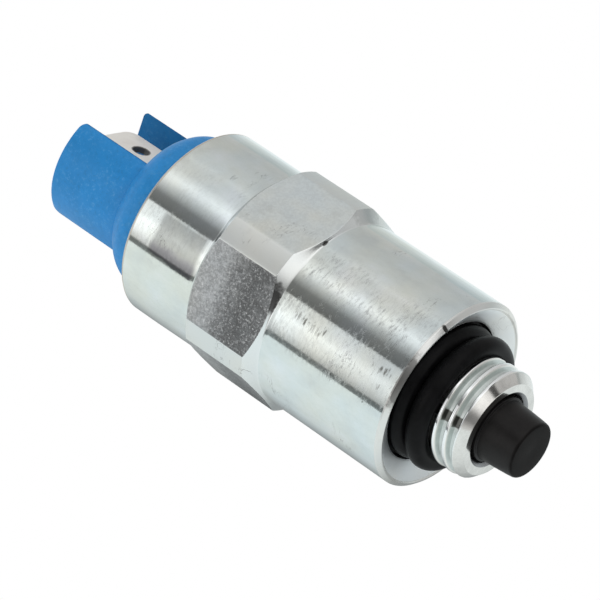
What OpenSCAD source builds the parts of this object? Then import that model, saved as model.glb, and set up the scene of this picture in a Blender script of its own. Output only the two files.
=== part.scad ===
// Fuel shutoff solenoid, screw-in, with a plunger that a spring pushes out.
// Frame: X runs along the axis to the nose, Z is up, zero is the centre of the
// front rim that butts on the pump. The part lies on one flat of its hexagon.
// Sizes are in millimetres.

/* [Housing] */
// diameter of the two plain cylinders
body_d = 24.8; // [24.4:0.1:25.3]
// distance across the flats of the hexagon
hex_af = 25.5; // [25.4:0.1:26]
// diameter that the hexagon corners are turned down to
hex_corner_d = 27.7; // [27.4:0.1:28.8]
// length of the hexagon between its two chamfers
hex_len = 9.3; // [7:0.1:11]
// distance from the front rim back to the hexagon's front chamfer
hex_back = 20.6; // [18.5:0.1:22]
// distance from the front rim back to the rear rim
body_len = 42.5; // [41:0.1:45]
// width of the bevel on the front rim
front_bevel = 0.5; // [0.2:0.05:0.8]
// depth of the recess that holds the rear sealing ring
dish_depth = 2.75; // [2.4:0.05:3.1]

/* [Nose] */
// thread diameter over the crests
thread_d = 14.3; // [14:0.1:14.8]
// distance from one thread crest to the next
thread_pitch = 1.6; // [1.2:0.1:1.8]
// depth of the thread
thread_depth = 0.75; // [0.4:0.05:0.85]
// distance that the nose stands out of the front rim
nose_len = 7.6; // [7.2:0.1:9]
// section of both sealing rings
ring_section = 2.8; // [2.6:0.05:2.85]

/* [Plunger] */
// travel of the plunger into the body
travel = 3.5; // [2:0.1:4]
// distance that the rubber tip stands out of the front rim
tip_reach = 12.5; // [12:0.1:14]
// diameter of the rubber tip at its end
tip_end_d = 7.3; // [6.6:0.1:7.5]
// diameter of the sliding steel plunger
armature_d = 10.4; // [9.8:0.1:10.6]
// turns of the return spring
spring_turns = 8; // [5:1:10]

/* [Connector] */
// outer diameter of the two connector walls
tube_d = 17; // [16.4:0.1:17.6]
// distance from the front rim back to the connector's end
connector_reach = 58.6; // [56.5:0.1:61]
// width of the slot between the walls
slot_w = 11.4; // [10.6:0.1:12]
// roll of the slot about the axis, from upright
slot_roll = -24; // [-40:1:40]
// width of the blade terminal
blade_w = 6.3; // [4.8:0.1:6.4]
// thickness of the blade terminal
blade_t = 0.8; // [0.5:0.1:1]
// distance of the blade from the axis
blade_rise = 3.9; // [3.6:0.1:4.4]

/* [Shown] */
// one piece, or all of them

/* [Hidden] */
$fn = 96;
// gaps: a seat is nearly closed, a running fit lets the piece slide
seat_gap = 0.02;
fit_gap = 0.05;
loose_gap = 0.15;
cut = 1;
body_r = body_d / 2;
corner_r = hex_corner_d / 2;
// housing stations along the axis, all negative behind the front rim
hex_front = -hex_back;
hex_rear = hex_front - hex_len;
body_rear = -body_len;
chamfer_slope = 0.83;
corner_step = corner_r - body_r;
cone_front = hex_front + chamfer_slope * corner_step;
cone_rear = hex_rear - chamfer_slope * corner_step;
// the rear cylinder is a little fuller next to the rim
swell_r = body_r + 0.1;
swell_front = body_rear + 3.9;
rim_w = 0.6;
rim_drop = 0.1;
rim_edge = 0.25;
// front dish and neck
lip_w = 0.15;
lip_r = body_r - front_bevel - lip_w;
ring_r = ring_section / 2;
thread_r = thread_d / 2;
neck_drop = 1.05;
neck_r = thread_r - neck_drop;
ring_mean_r = neck_r + seat_gap + ring_r;
ring_room = 0.36;
dish_cone_depth = 1.45;
dish_floor_r = ring_mean_r + ring_r + ring_room;
rear_ring_x = -dish_depth + seat_gap + ring_r;
front_ring_x = rear_ring_x + ring_section + seat_gap;
thread_relief = 0.1;
thread_start = front_ring_x + ring_r + thread_relief;
nose_chamfer = 1.05;
thread_end = nose_len - nose_chamfer;
root_r = thread_r - thread_depth;
crest_w = thread_pitch * 0.3;
flank_w = thread_pitch * 0.2;
crest_root_r = root_r - 0.2;
crest_half = crest_w / 2 + flank_w + 0.06;
// bores from the nose inwards
tip_clearance = 0.35;
tip_flange_r = 4.3;
nose_bore_r = tip_flange_r + tip_clearance;
mouth_edge = 0.4;
mouth_r = nose_bore_r + mouth_edge;
armature_r = armature_d / 2;
shoulder_x = -3.65;
stop_t = 0.4;
stop_rear = shoulder_x - seat_gap - stop_t;
tube_t = 0.4;
guide_in_r = armature_r + fit_gap;
guide_out_r = guide_in_r + tube_t;
pocket_r = guide_out_r + seat_gap;
coil_wall = 1.8;
coil_r = body_r - coil_wall;
coil_front = -8;
// rear closure: the steel lip is rolled over the connector's foot
lip_t = 0.9;
lip_band = 1.65;
lip_in_r = body_r - lip_band;
foot_r = coil_r;
foot_t = 3;
foot_rear = body_rear + lip_t + seat_gap;
foot_front = foot_rear + foot_t;
collar_r = lip_in_r - loose_gap;
collar_len = 4.9;
collar_rear = body_rear - collar_len;
crease_r = tube_d / 2 + 0.5;
collar_edge_r = tube_d / 2 + 1.5;
collar_edge_x = collar_rear + 1.15;
collar_swell_r = collar_r - 0.1;
collar_swell_x = collar_rear + 2.2;
collar_full_x = collar_rear + 3.4;
tube_r = tube_d / 2;
connector_rear = -connector_reach;
// end plate and fixed core
plate_t = 2.2;
plate_rear = foot_front + seat_gap;
plate_front = plate_rear + plate_t;
core_r = guide_in_r - seat_gap;
core_stem_r = 3;
core_stem_back = 0.2;
// moving plunger, shown pushed out
armature_front = shoulder_x - stop_t - 2 * seat_gap;
armature_len = 16.5;
armature_rear = armature_front - armature_len;
shim_t = 0.3;
core_front = armature_rear - travel - shim_t - 2 * seat_gap;
stem_r = 3.6;
stem_front = 3.4;
peg_r = 2;
peg_front = 9.5;
spring_pocket_r = 2.7;
spring_pocket_depth = 8;
core_pocket_depth = 4;
wire_r = 0.25;
spring_room = 0.35;
spring_r = spring_pocket_r - spring_room - wire_r;
spring_rear = core_front - core_pocket_depth + seat_gap;
spring_front = armature_rear + spring_pocket_depth - seat_gap;
// coil on its bobbin
bobbin_rear = plate_front + seat_gap;
washer_t = 0.6;
washer_rear = coil_front - seat_gap - washer_t;
bobbin_front = coil_front - washer_t - 2 * seat_gap;
bobbin_wall = 0.8;
bobbin_in_r = guide_out_r + seat_gap;
bobbin_out_r = bobbin_in_r + bobbin_wall;
bobbin_flange_r = coil_r - loose_gap;
bobbin_flange_t = 1.1;
winding_in_r = bobbin_out_r + seat_gap;
wrap_t = 0.25;
winding_room = 1.0;
winding_out_r = coil_r - winding_room;
winding_rear = bobbin_rear + bobbin_flange_t + seat_gap;
winding_front = bobbin_front - bobbin_flange_t - seat_gap;
// rubber tip
tip_neck_r = 3.9;
tip_flange_x = 6.5;
tip_flange_t = 1.1;
tip_flange_edge = 0.2;
tip_flange_end = tip_flange_x + tip_flange_t;
tip_root_r = 4.0;
tip_edge = 0.5;
// blade terminal and its wiring
blade_inset = 0.7;
blade_end = connector_rear + blade_inset;
blade_corner = 1.5;
blade_hole_d = 2.1;
blade_hole_back = 4.7;
slit_w = blade_w + 2 * fit_gap;
slit_t = blade_t + 2 * fit_gap;
wiring_pocket = 2.4;
pocket_rear = foot_front - wiring_pocket;
pocket_side = 1;
pocket_h = 2.8;
blade_foot_in = 0.8;
blade_foot = pocket_rear + blade_foot_in;
shoulder_w = 0.7;
shoulder_t = 0.6;
lead_r = 0.45;
sleeve_t = 0.35;
sleeve_r = lead_r + sleeve_t;
lead_turn_back = 0.7;
lead_turn_x = foot_front - lead_turn_back;
lead_rise = (winding_in_r + winding_out_r) / 2;
lead_pocket_w = 2;
lead_pocket_top = lead_rise + 0.8;
grommet_r = 1.9;
end_inset = 0.05;
grommet_rear = plate_rear + end_inset;
notch_w = 2 * (lead_r + loose_gap);
notch_r = bobbin_out_r + 0.4;
// seal in the groove of the connector's foot
seal_r = 0.6;
groove_w = 1.3;
groove_depth = 1.45;
seal_mean_r = foot_r - loose_gap - seal_r + 0.05;
wall_round = 0.75;

// stands a solid that was drawn upright along the axis, its top to the nose
module lay() {
    rotate([0, 90, 0])
        children();
}

// turns a drawn half outline, first number the radius, second the station
module turned(outline) {
    lay()
        rotate_extrude()
            polygon(outline);
}

// a plain round or ringed piece between two stations
module ring(outer, inner, back, front) {
    lay()
        translate([0, 0, back])
            difference() {
                cylinder(r = outer, h = front - back);
                translate([0, 0, -cut])
                    cylinder(r = inner, h = front - back + 2 * cut);
            }
}

module rod(radius, back, front) {
    lay()
        translate([0, 0, back])
            cylinder(r = radius, h = front - back);
}

// a sealing ring of round section
module cord(mean_r, section_r, station) {
    lay()
        translate([0, 0, station])
            rotate_extrude()
                translate([mean_r, 0])
                    circle(r = section_r);
}

// hexagonal bar with its corners turned round and both ends coned
module hexagon() {
    intersection() {
        lay()
            rotate([0, 0, 30])
                translate([0, 0, cone_rear])
                    cylinder(r = hex_af / 2 / cos(30), h = cone_front - cone_rear, $fn = 6);
        turned([
            [0, cone_rear],
            [body_r, cone_rear],
            [corner_r, hex_rear],
            [corner_r, hex_front],
            [body_r, cone_front],
            [0, cone_front]
        ]);
    }
}

// plain turned body behind and in front of the hexagon
module body_blank() {
    turned([
        [0, body_rear],
        [body_r - rim_drop - rim_edge, body_rear],
        [body_r - rim_drop, body_rear + rim_edge],
        [swell_r, body_rear + rim_w],
        [swell_r, swell_front],
        [body_r, cone_rear],
        [body_r, -front_bevel],
        [body_r - front_bevel, 0],
        [lip_r, 0],
        [dish_floor_r, -dish_cone_depth],
        [dish_floor_r, -dish_depth],
        [neck_r, -dish_depth],
        [neck_r, thread_start],
        [root_r, thread_start + thread_depth],
        [root_r, thread_end],
        [thread_r - nose_chamfer, nose_len],
        [0, nose_len]
    ]);
}

// one thread crest, drawn as a plain ridge
module thread_crest(station) {
    turned([
        [crest_root_r, station - crest_half],
        [thread_r, station - crest_w / 2],
        [thread_r, station + crest_w / 2],
        [crest_root_r, station + crest_half]
    ]);
}

module housing() {
    color([0.74, 0.76, 0.78])
        difference() {
            union() {
                body_blank();
                hexagon();
                for (i = [0 : floor((thread_end - thread_start) / thread_pitch - 0.5)])
                    thread_crest(thread_end - crest_w / 2 - i * thread_pitch);
                // the last crest runs into the nose chamfer
                turned([
                    [0, thread_end - crest_w],
                    [thread_r, thread_end - crest_w],
                    [thread_r, thread_end],
                    [thread_r - nose_chamfer, nose_len],
                    [0, nose_len]
                ]);
            }
            // coil space, closed at the rear by the rolled lip
            rod(coil_r, body_rear + lip_t, coil_front);
            rod(lip_in_r, body_rear - cut, body_rear + lip_t + cut);
            // guide for the plunger, with the shoulder that stops it
            rod(pocket_r, coil_front - cut, shoulder_x);
            rod(nose_bore_r, shoulder_x - cut, nose_len + cut);
            // bevel at the bore's mouth
            turned([
                [0, nose_len - mouth_edge],
                [nose_bore_r, nose_len - mouth_edge],
                [mouth_r, nose_len],
                [mouth_r, nose_len + cut],
                [0, nose_len + cut]
            ]);
        }
}

module rear_ring() {
    color([0.05, 0.05, 0.055])
        cord(ring_mean_r, ring_r, rear_ring_x);
}

module front_ring() {
    color([0.06, 0.06, 0.06])
        cord(ring_mean_r, ring_r, front_ring_x);
}

// the two walls that guard the blade, left after the slot is cut
module connector_walls() {
    difference() {
        rod(tube_r, connector_rear, collar_rear + 1);
        translate([connector_rear - cut, -slot_w / 2, -tube_r - cut])
            cube([collar_rear - connector_rear + cut, slot_w, tube_d + 2 * cut]);
        // rounded rear corners of both walls
        for (side = [-1, 1])
            for (top = [-1, 1])
                wall_corner(side, top);
    }
}

// takes the sharp rear corner off one wall end
module wall_corner(side, top) {
    wall_top = sqrt(tube_r * tube_r - slot_w * slot_w / 4);
    translate([connector_rear, side * tube_r, top * wall_top])
        rotate([90, 0, 0])
            difference() {
                translate([-cut, top > 0 ? -wall_round : -cut, -tube_r])
                    cube([wall_round + cut, wall_round + cut, tube_d]);
                translate([wall_round, -top * wall_round, -tube_r - cut])
                    cylinder(r = wall_round, h = tube_d + 2 * cut);
            }
}

module connector_body() {
    color([0.12, 0.42, 0.72])
        rotate([slot_roll, 0, 0])
            difference() {
                union() {
                    turned([
                        [0, collar_rear],
                        [crease_r, collar_rear],
                        [collar_edge_r, collar_edge_x],
                        [collar_swell_r, collar_swell_x],
                        [collar_r, collar_full_x],
                        [collar_r, foot_rear],
                        [foot_r - loose_gap, foot_rear],
                        [foot_r - loose_gap, foot_front],
                        [0, foot_front]
                    ]);
                    connector_walls();
                }
                // slit that the blade is pushed through
                translate([collar_rear - cut, -slit_w / 2, blade_rise - slit_t / 2])
                    cube([foot_front - collar_rear + 2 * cut, slit_w, slit_t]);
                // pocket for the blade's shoulders and the lead
                translate([pocket_rear, -blade_w / 2 - pocket_side, blade_rise - pocket_h / 2])
                    cube([wiring_pocket + cut, blade_w + 2 * pocket_side, pocket_h]);
                translate([pocket_rear, -lead_pocket_w / 2, blade_rise])
                    cube([wiring_pocket + cut, lead_pocket_w, lead_pocket_top - blade_rise]);
                // groove for the seal under the collar
                lay()
                    translate([0, 0, foot_front - groove_w])
                        difference() {
                            cylinder(r = foot_r + cut, h = groove_w + cut);
                            translate([0, 0, -cut])
                                cylinder(r = foot_r - groove_depth, h = groove_w + 3 * cut);
                        }
            }
}

module blade_terminal() {
    color([0.80, 0.76, 0.70])
        rotate([slot_roll, 0, 0])
            translate([0, 0, blade_rise - blade_t / 2])
                linear_extrude(blade_t)
                    difference() {
                        union() {
                            translate([blade_end + blade_corner, -blade_w / 2])
                                square([blade_foot - blade_end - blade_corner, blade_w]);
                            translate([blade_end, -blade_w / 2 + blade_corner])
                                square([blade_corner + cut, blade_w - 2 * blade_corner]);
                            for (side = [-1, 1])
                                translate([blade_end + blade_corner, side * (blade_w / 2 - blade_corner)])
                                    circle(r = blade_corner);
                            // shoulders that stop it in the moulding
                            translate([blade_foot - shoulder_t, -blade_w / 2 - shoulder_w])
                                square([shoulder_t, blade_w + 2 * shoulder_w]);
                        }
                        translate([blade_end + blade_hole_back, 0])
                            circle(r = blade_hole_d / 2);
                    }
}

module collar_seal() {
    color([0.08, 0.08, 0.08])
        cord(seal_mean_r, seal_r, foot_front - groove_w / 2);
}

module end_plate() {
    color([0.62, 0.64, 0.66])
        difference() {
            ring(coil_r - loose_gap, core_stem_r + seat_gap, plate_rear, plate_front);
            // hole for the live lead and its grommet
            rotate([slot_roll, 0, 0])
                translate([0, 0, lead_rise])
                    rod(grommet_r, plate_rear - cut, plate_front + cut);
        }
}

module fixed_core() {
    color([0.60, 0.62, 0.64])
        difference() {
            union() {
                rod(core_r, plate_front + seat_gap, core_front);
                rod(core_stem_r, plate_rear + core_stem_back, plate_front + 2 * seat_gap);
            }
            rod(spring_pocket_r, core_front - core_pocket_depth, core_front + cut);
        }
}

module core_shim() {
    color([0.82, 0.66, 0.30])
        ring(core_r - loose_gap, spring_pocket_r, core_front + seat_gap, core_front + seat_gap + shim_t);
}

module bobbin() {
    color([0.14, 0.14, 0.15])
        difference() {
            union() {
                ring(bobbin_out_r, bobbin_in_r, bobbin_rear, bobbin_front);
                ring(bobbin_flange_r, bobbin_in_r, bobbin_rear, bobbin_rear + bobbin_flange_t);
                ring(bobbin_flange_r, bobbin_in_r, bobbin_front - bobbin_flange_t, bobbin_front);
            }
            // notches in the rear flange for the two leads
            rotate([slot_roll, 0, 0]) {
                translate([bobbin_rear - cut, -notch_w / 2, notch_r])
                    cube([bobbin_flange_t + 2 * cut, notch_w, coil_r]);
                translate([bobbin_rear - cut, -notch_w / 2, -coil_r - notch_r])
                    cube([bobbin_flange_t + 2 * cut, notch_w, coil_r]);
            }
        }
}

module winding() {
    color([0.72, 0.36, 0.16])
        ring(winding_out_r - wrap_t - seat_gap, winding_in_r, winding_rear, winding_front);
}

module winding_wrap() {
    color([0.86, 0.80, 0.50])
        ring(winding_out_r, winding_out_r - wrap_t, winding_rear, winding_front);
}

module front_washer() {
    color([0.55, 0.30, 0.16])
        ring(coil_r - loose_gap, guide_out_r + loose_gap, washer_rear, washer_rear + washer_t);
}

module guide_tube() {
    color([0.83, 0.68, 0.34])
        ring(guide_out_r, guide_in_r, plate_front + seat_gap, shoulder_x - seat_gap);
}

module stop_washer() {
    color([0.20, 0.20, 0.20])
        ring(guide_in_r - seat_gap, stem_r + loose_gap, stop_rear, stop_rear + stop_t);
}

module armature() {
    color([0.68, 0.70, 0.72])
        difference() {
            union() {
                rod(armature_r, armature_rear, armature_front);
                rod(stem_r, armature_front - cut, stem_front);
                rod(peg_r, stem_front - cut, peg_front);
            }
            rod(spring_pocket_r, armature_rear - cut, armature_rear + spring_pocket_depth);
        }
}

module rubber_tip() {
    color([0.05, 0.05, 0.05])
        difference() {
            lay()
                rotate_extrude()
                    union() {
                        polygon([
                            [0, stem_front + seat_gap],
                            [tip_neck_r, stem_front + seat_gap],
                            [tip_neck_r, tip_flange_x],
                            [tip_flange_r - tip_flange_edge, tip_flange_x],
                            [tip_flange_r, tip_flange_x + tip_flange_edge],
                            [tip_flange_r, tip_flange_end - tip_flange_edge],
                            [tip_flange_r - tip_flange_edge, tip_flange_end],
                            [tip_root_r, tip_flange_end],
                            [tip_end_d / 2, tip_reach - tip_edge],
                            [tip_end_d / 2 - tip_edge, tip_reach],
                            [0, tip_reach]
                        ]);
                        translate([tip_end_d / 2 - tip_edge, tip_reach - tip_edge])
                            circle(r = tip_edge);
                    }
            rod(peg_r + seat_gap, stem_front - cut, peg_front + seat_gap);
        }
}

// one half turn of the spring, tilted so that its ends meet the next ones
module half_turn(tilt, station, roll) {
    lay()
        translate([0, 0, station])
            rotate([0, tilt, 0])
                rotate([0, 0, roll]) {
                    rotate_extrude(angle = 180)
                        translate([spring_r, 0])
                            circle(r = wire_r);
                    // a small ball closes the joint with the next half turn
                    translate([spring_r, 0, 0])
                        sphere(r = wire_r + 0.01);
                }
}

module return_spring() {
    pitch = (spring_front - spring_rear - 2 * wire_r) / spring_turns;
    tilt = asin(pitch / 4 / spring_r);
    start = spring_rear + wire_r;
    color([0.50, 0.51, 0.53])
        for (i = [0 : spring_turns - 1]) {
            half_turn(tilt, start + (i + 0.25) * pitch, 0);
            half_turn(-tilt, start + (i + 0.75) * pitch, 180);
        }
}

module lead_sleeve() {
    color([0.70, 0.12, 0.10])
        rotate([slot_roll, 0, 0])
            translate([0, 0, lead_rise])
                ring(sleeve_r, lead_r + seat_gap, foot_front + seat_gap, plate_front - end_inset);
}

module terminal_grommet() {
    color([0.12, 0.12, 0.13])
        rotate([slot_roll, 0, 0])
            translate([0, 0, lead_rise])
                ring(grommet_r - seat_gap, sleeve_r + seat_gap, grommet_rear, plate_front - end_inset);
}

// runs from the blade's foot out to the side, then through the end plate
module live_lead() {
    color([0.76, 0.42, 0.20])
        rotate([slot_roll, 0, 0]) {
            translate([0, 0, blade_rise])
                rod(lead_r, blade_foot + seat_gap, lead_turn_x);
            translate([lead_turn_x, 0, blade_rise])
                cylinder(r = lead_r, h = lead_rise - blade_rise);
            translate([0, 0, lead_rise])
                rod(lead_r, lead_turn_x, winding_rear - seat_gap);
            translate([lead_turn_x, 0, blade_rise])
                sphere(r = lead_r);
            translate([lead_turn_x, 0, lead_rise])
                sphere(r = lead_r);
        }
}

module earth_lead() {
    color([0.76, 0.42, 0.20])
        rotate([slot_roll, 0, 0])
            translate([0, 0, -lead_rise])
                rod(lead_r, bobbin_rear + seat_gap, winding_rear - seat_gap);
}

housing();
rear_ring();
front_ring();
connector_body();
blade_terminal();
collar_seal();
end_plate();
fixed_core();
core_shim();
bobbin();
winding();
winding_wrap();
front_washer();
guide_tube();
stop_washer();
armature();
rubber_tip();
return_spring();
live_lead();
lead_sleeve();
earth_lead();
terminal_grommet();
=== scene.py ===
"""Looks of a screw-in fuel shutoff solenoid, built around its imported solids. Metres, axis along X, nose at +X."""
import math

import bpy
import numpy as np
from mathutils import Matrix, Vector


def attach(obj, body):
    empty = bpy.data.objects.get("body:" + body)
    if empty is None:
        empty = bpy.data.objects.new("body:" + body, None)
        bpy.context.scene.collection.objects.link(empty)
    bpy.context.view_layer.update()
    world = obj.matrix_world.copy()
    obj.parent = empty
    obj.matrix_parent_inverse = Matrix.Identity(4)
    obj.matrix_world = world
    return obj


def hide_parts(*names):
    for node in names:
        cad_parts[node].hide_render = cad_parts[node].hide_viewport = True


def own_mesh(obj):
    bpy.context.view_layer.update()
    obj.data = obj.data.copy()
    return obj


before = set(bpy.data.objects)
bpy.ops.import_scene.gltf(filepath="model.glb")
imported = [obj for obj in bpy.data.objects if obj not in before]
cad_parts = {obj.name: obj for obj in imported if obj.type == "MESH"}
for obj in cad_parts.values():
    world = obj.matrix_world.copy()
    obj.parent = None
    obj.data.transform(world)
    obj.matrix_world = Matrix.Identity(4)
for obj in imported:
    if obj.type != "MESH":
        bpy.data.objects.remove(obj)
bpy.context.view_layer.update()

MM = 0.001

# sizes of the housing, in millimetres, as the solids have them
BODY_R = 12.4
HEX_APOTHEM = 12.75
CORNER_R = 13.85
CONE_FRONT = -19.4
HEX_FRONT = -20.6
HEX_REAR = -29.9
CONE_REAR = -31.1
BODY_REAR = -42.5
NOSE_LEN = 7.6
THREAD_R = 7.15
ROOT_R = 6.4
NECK_R = 6.1
DISH_DEPTH = 2.75
DISH_CONE = 1.45
DISH_FLOOR_R = 9.28
LIP_R = 11.75
RING_R = 1.4
RING_MEAN_R = 7.52
REAR_RING_X = -1.33
FRONT_RING_X = 1.49
PITCH = 1.63
CREST_X = 3.31          # the first crest, at this roll
CREST_ROLL = 127.9
SLOT_ROLL = -24
TUBE_R = 8.5
CONNECTOR_REAR = -58.6
COLLAR_REAR = -47.4
SWELL_X = -38.6
SWELL_R = 12.5
WALL_IN = 5.7
BLADE_RISE = 3.9
BLADE_END = -57.9
HOLE_X = BLADE_END + 4.7
HOLE_R = 1.05
BORE_R = 4.65
MOUTH_R = 5.05


# ---------------------------------------------------------------- mesh helpers
def add_object(name, verts, faces, body, replaces, materials, indices=None, smooth=True, sharp=None):
    """Makes a mesh from millimetres, in the frame's own axes, and fixes it to a body."""
    mesh = bpy.data.meshes.new(name)
    mesh.from_pydata([tuple(v) for v in np.asarray(verts) * MM], [], faces)
    mesh.validate()
    mesh.update()
    obj = bpy.data.objects.new(name, mesh)
    bpy.context.scene.collection.objects.link(obj)
    for m in materials:
        mesh.materials.append(m)
    if indices is not None:
        mesh.polygons.foreach_set("material_index", np.asarray(indices, np.int32))
    mesh.polygons.foreach_set("use_smooth", np.full(len(mesh.polygons), smooth))
    if sharp is not None:
        mesh.set_sharp_from_angle(angle=math.radians(sharp))
    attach(obj, body)
    if replaces:
        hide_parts(*replaces)
    return obj


def grid_faces(rows, cols, wrap_rows=False, wrap_cols=True):
    """Quads of a grid whose points are stored row by row."""
    out = []
    for i in range(rows if wrap_rows else rows - 1):
        a, b = i * cols, ((i + 1) % rows) * cols
        for j in range(cols if wrap_cols else cols - 1):
            k = (j + 1) % cols
            out.append((a + j, a + k, b + k, b + j))
    return out


def fillet(points, steps=5):
    """Rounds the corners of an open outline. A point is (station, radius, corner size)."""
    out = []
    n = len(points)
    for i, p in enumerate(points):
        here = np.array(p[:2], float)
        size = p[2] if len(p) > 2 else 0
        if size <= 0 or i in (0, n - 1):
            out.append(tuple(here))
            continue
        before, after = np.array(points[i - 1][:2], float), np.array(points[i + 1][:2], float)
        u, v = before - here, after - here
        lu, lv = np.linalg.norm(u), np.linalg.norm(v)
        size = min(size, 0.48 * lu, 0.48 * lv)
        a, b = here + u / lu * size, here + v / lv * size
        for t in np.linspace(0, 1, steps + 1):
            out.append(tuple((1 - t) ** 2 * a + 2 * t * (1 - t) * here + t * t * b))
    return out


def lathe(outline, cols, closed=False):
    """Points and quads of an outline turned about the axis. The outline is stations and radii."""
    angles = np.linspace(0, 2 * math.pi, cols, endpoint=False)
    verts = np.zeros((len(outline), cols, 3))
    for i, (x, r) in enumerate(outline):
        verts[i, :, 0] = x
        verts[i, :, 1] = r * np.cos(angles)
        verts[i, :, 2] = r * np.sin(angles)
    return verts.reshape(-1, 3), grid_faces(len(outline), cols, wrap_rows=closed)


def along(a, b, step):
    """Stations from a to b at about this step, without the last one."""
    n = max(1, int(round(abs(b - a) / step)))
    return [a + (b - a) * i / n for i in range(n)]


def rolled(verts, degrees):
    """Turns points about the axis."""
    a = math.radians(degrees)
    v = np.asarray(verts, float).copy()
    y, z = v[:, 1].copy(), v[:, 2].copy()
    v[:, 1] = y * math.cos(a) - z * math.sin(a)
    v[:, 2] = y * math.sin(a) + z * math.cos(a)
    return v


def bevelled(obj, width, segments=3, angle=35):
    """Rounds the sharp edges of a clean mesh."""
    mod = obj.modifiers.new("edges", "BEVEL")
    mod.width = width * MM
    mod.segments = segments
    mod.limit_method = "ANGLE"
    mod.angle_limit = math.radians(angle)
    mod.harden_normals = False
    mod.use_clamp_overlap = True
    return obj


# ---------------------------------------------------------------- material helpers
class Paint:
    """A small wrapper that makes node materials easier to read."""

    def __init__(self, name):
        self.mat = bpy.data.materials.new(name)
        self.mat.use_nodes = True
        self.tree = self.mat.node_tree
        self.tree.nodes.clear()
        self.out = self.tree.nodes.new("ShaderNodeOutputMaterial")
        self.shader = self.tree.nodes.new("ShaderNodeBsdfPrincipled")
        self.tree.links.new(self.shader.outputs[0], self.out.inputs["Surface"])
        self.place = self.node("ShaderNodeTexCoord").outputs["Object"]
        split = self.node("ShaderNodeSeparateXYZ")
        self.link(self.place, split.inputs[0])
        self.x, self.y, self.z = split.outputs[0], split.outputs[1], split.outputs[2]
        self._angle = None
        self._radius = None

    def node(self, kind, **values):
        made = self.tree.nodes.new(kind)
        for k, v in values.items():
            setattr(made, k, v)
        return made

    def link(self, a, b):
        self.tree.links.new(a, b)

    def set(self, name, value):
        """Gives a shader socket a plain value, a colour or a linked output."""
        socket = self.shader.inputs[name]
        if isinstance(value, bpy.types.NodeSocket):
            self.link(value, socket)
        elif isinstance(value, tuple) and len(value) == 3:
            socket.default_value = (*value, 1)
        else:
            socket.default_value = value

    def math(self, op, a, b=None, c=None, clamp=False):
        n = self.node("ShaderNodeMath", operation=op, use_clamp=clamp)
        for i, v in enumerate((a, b, c)):
            if v is None:
                continue
            if isinstance(v, bpy.types.NodeSocket):
                self.link(v, n.inputs[i])
            else:
                n.inputs[i].default_value = v
        return n.outputs[0]

    @property
    def angle(self):
        """Angle about the axis, from minus pi to pi."""
        if self._angle is None:
            self._angle = self.math("ARCTAN2", self.z, self.y)
        return self._angle

    @property
    def radius(self):
        if self._radius is None:
            yy = self.math("MULTIPLY", self.y, self.y)
            zz = self.math("MULTIPLY", self.z, self.z)
            self._radius = self.math("SQRT", self.math("ADD", yy, zz))
        return self._radius

    def vector(self, x=0.0, y=0.0, z=0.0):
        n = self.node("ShaderNodeCombineXYZ")
        for i, v in enumerate((x, y, z)):
            if isinstance(v, bpy.types.NodeSocket):
                self.link(v, n.inputs[i])
            else:
                n.inputs[i].default_value = v
        return n.outputs[0]

    def noise(self, scale, detail=3.0, rough=0.5, where=None, distort=0.0):
        n = self.node("ShaderNodeTexNoise")
        n.inputs["Scale"].default_value = scale
        n.inputs["Detail"].default_value = detail
        n.inputs["Roughness"].default_value = rough
        n.inputs["Distortion"].default_value = distort
        self.link(where or self.place, n.inputs["Vector"])
        return n.outputs["Fac"]

    def cells(self, scale, where=None, feature="F1"):
        n = self.node("ShaderNodeTexVoronoi", feature=feature)
        n.inputs["Scale"].default_value = scale
        self.link(where or self.place, n.inputs["Vector"])
        return n.outputs["Distance"]

    def ramp(self, fac, *stops):
        """A smooth change of value or colour; a stop is (place, value or colour)."""
        n = self.node("ShaderNodeValToRGB")
        self.link(fac, n.inputs[0])
        ramp = n.color_ramp
        while len(ramp.elements) < len(stops):
            ramp.elements.new(0.5)
        for e, (p, v) in zip(ramp.elements, stops):
            e.position = p
            e.color = (*v, 1) if isinstance(v, tuple) else (v, v, v, 1)
        return n.outputs[0]

    def mix(self, fac, a, b, kind="MIX"):
        n = self.node("ShaderNodeMix", data_type="RGBA", blend_type=kind)
        for i, v in ((0, fac), (6, a), (7, b)):
            if isinstance(v, bpy.types.NodeSocket):
                self.link(v, n.inputs[i])
            else:
                n.inputs[i].default_value = (*v, 1) if isinstance(v, tuple) else v
        return n.outputs[2]

    def bump(self, height, strength, distance=0.00005, after=None):
        n = self.node("ShaderNodeBump")
        n.inputs["Strength"].default_value = strength
        n.inputs["Distance"].default_value = distance
        self.link(height, n.inputs["Height"])
        if after is not None:
            self.link(after, n.inputs["Normal"])
        return n.outputs[0]

    def tilt(self, amount):
        """Turns the shading normal sideways about the axis, by an amount given as a slope."""
        inv = self.math("DIVIDE", 1.0, self.radius)
        way = self.vector(0.0, self.math("MULTIPLY", self.math("MULTIPLY", self.z, inv), -1.0), self.math("MULTIPLY", self.y, inv))
        scale = self.node("ShaderNodeVectorMath", operation="SCALE")
        self.link(way, scale.inputs[0])
        self.link(amount, scale.inputs["Scale"])
        total = self.node("ShaderNodeVectorMath", operation="ADD")
        self.link(self.node("ShaderNodeNewGeometry").outputs["Normal"], total.inputs[0])
        self.link(scale.outputs[0], total.inputs[1])
        unit = self.node("ShaderNodeVectorMath", operation="NORMALIZE")
        self.link(total.outputs[0], unit.inputs[0])
        return unit.outputs[0]

    def away(self, x, roll, half_x, half_roll):
        """How far a point is from the middle of an oval patch, squared, with one at its outline."""
        along = self.math("DIVIDE", self.math("SUBTRACT", self.x, x * MM), half_x * MM)
        round_it = self.math("DIVIDE", self.math("SUBTRACT", self.angle, math.radians(90 + roll)), math.radians(half_roll))
        return self.math("ADD", self.math("MULTIPLY", along, along), self.math("MULTIPLY", round_it, round_it))

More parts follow.
